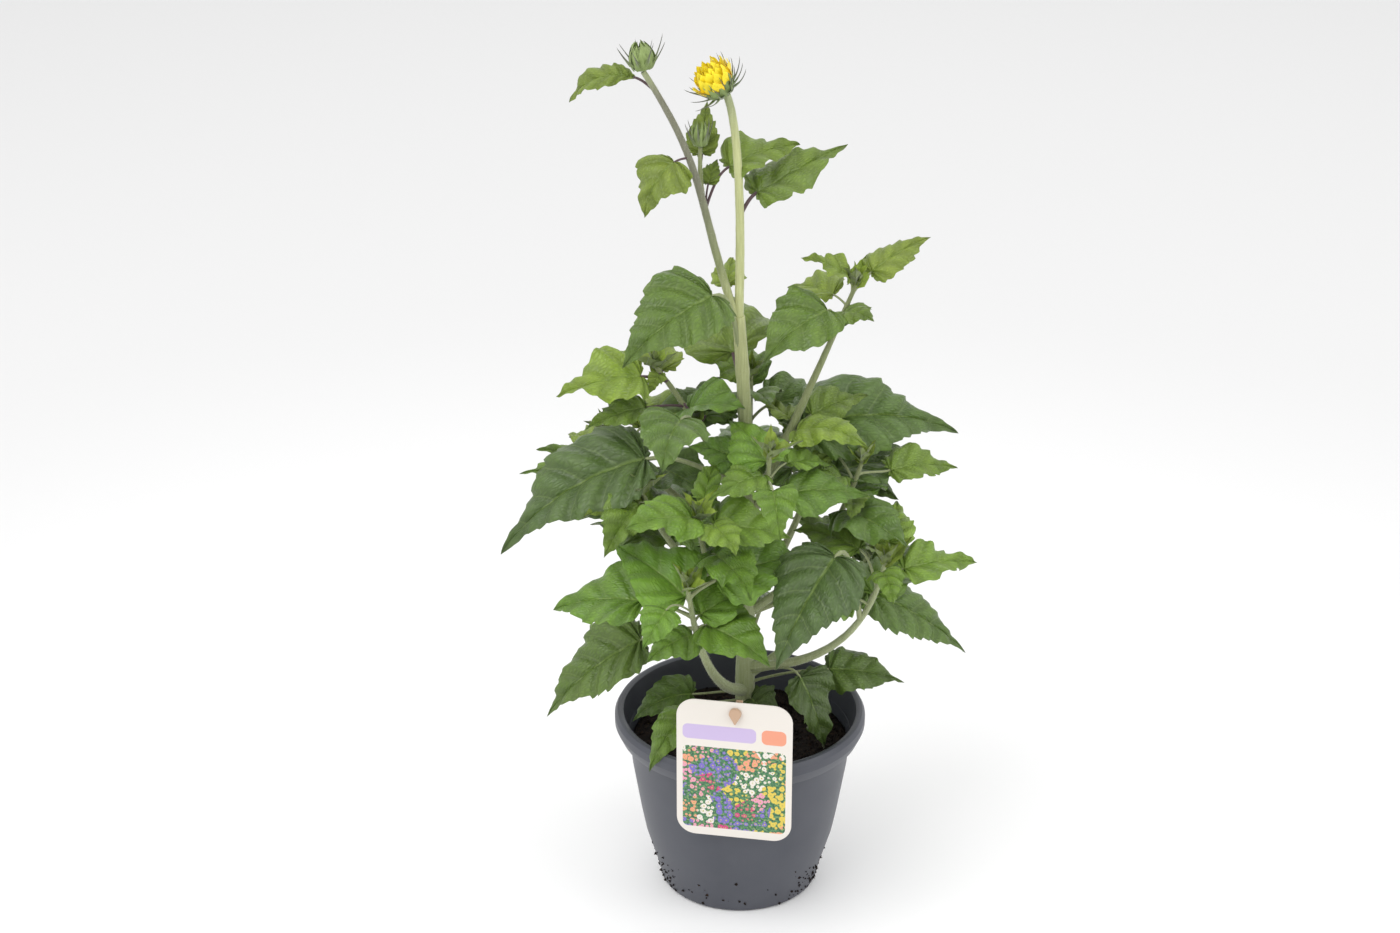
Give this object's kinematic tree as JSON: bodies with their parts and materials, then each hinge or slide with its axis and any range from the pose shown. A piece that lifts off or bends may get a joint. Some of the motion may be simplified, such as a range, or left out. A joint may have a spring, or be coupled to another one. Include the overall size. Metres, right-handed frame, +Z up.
{
  "type": "potted sunflower plant",
  "caption": "Young branching sunflower plant with serrate leaves, a flower bud and an opening bloom, in a round nursery pot with a plant label pegged at its rim.",
  "frame": {"origin": "middle of the pot's flat underside, at the mount foot", "axes": "+Z up along the plant; -Y is the side that the label is on, +X is right seen from there"},
  "size_m": [0.3506, 0.3011, 0.6669],
  "materials": {
    "pot": "anthracite blue moulded polypropylene, semi-matt",
    "soil": "moist peat potting soil, rough",
    "stems": "green ridged stems with fine white hairs",
    "leaves": "mid green quilted leaves, rough and slightly glossy",
    "old_leaves": "dark grey-green quilted leaves, matt",
    "bracts": "green hairy bracts",
    "petals": "bright yellow petals",
    "label_card": "printed cream plastic card, satin",
    "label_peg": "beige moulded plastic"
  },
  "bodies": {
    "root": {"bough_back_left": "stems", "bough_back_low": "stems", "bough_back_right": "stems", "bough_back_side": "stems", "bough_back_top": "stems", "bough_centre": "stems", "bough_left": "stems", "bough_low_front": "stems", "bough_mid_left": "stems", "bough_right_low": "stems", "bough_right_mid": "stems", "bough_upper_left": "stems", "bough_upper_right": "stems", "head_bloom": "petals", "head_bud": "bracts", "head_side": "bracts", "label": "label_card", "label_stake": "label_peg", "leaf_back_broad": "old_leaves", "leaf_back_rim": "old_leaves", "leaf_back_wide": "old_leaves", "leaf_branch_left": "leaves", "leaf_branch_right": "leaves", "leaf_broad_left": "old_leaves", "leaf_broad_right": "old_leaves", "leaf_bud_leaf": "leaves", "leaf_foot_front": "leaves", "leaf_fork_back": "leaves", "leaf_fork_left": "leaves", "leaf_fork_small": "leaves", "leaf_front_right": "leaves", "leaf_left_high": "leaves", "leaf_low_left": "old_leaves", "leaf_low_right": "old_leaves", "leaf_pot_left": "old_leaves", "leaf_pot_right": "old_leaves", "leaf_right_high": "leaves", "leaf_right_wide": "old_leaves", "leaf_rim_left": "old_leaves", "leaf_rim_right": "old_leaves", "left_stem": "stems", "mass_back_left": "leaves", "mass_back_low": "leaves", "mass_back_right": "leaves", "mass_back_side": "leaves", "mass_back_top": "leaves", "mass_centre": "leaves", "mass_left": "leaves", "mass_low_front": "leaves", "mass_mid_left": "leaves", "mass_right_low": "leaves", "mass_right_mid": "leaves", "mass_side": "leaves", "mass_upper_left": "leaves", "mass_upper_right": "leaves", "pot": "pot", "right_stem": "stems", "side_stalk": "stems", "soil": "soil", "trunk": "stems"}
  },
  "joints": []
}
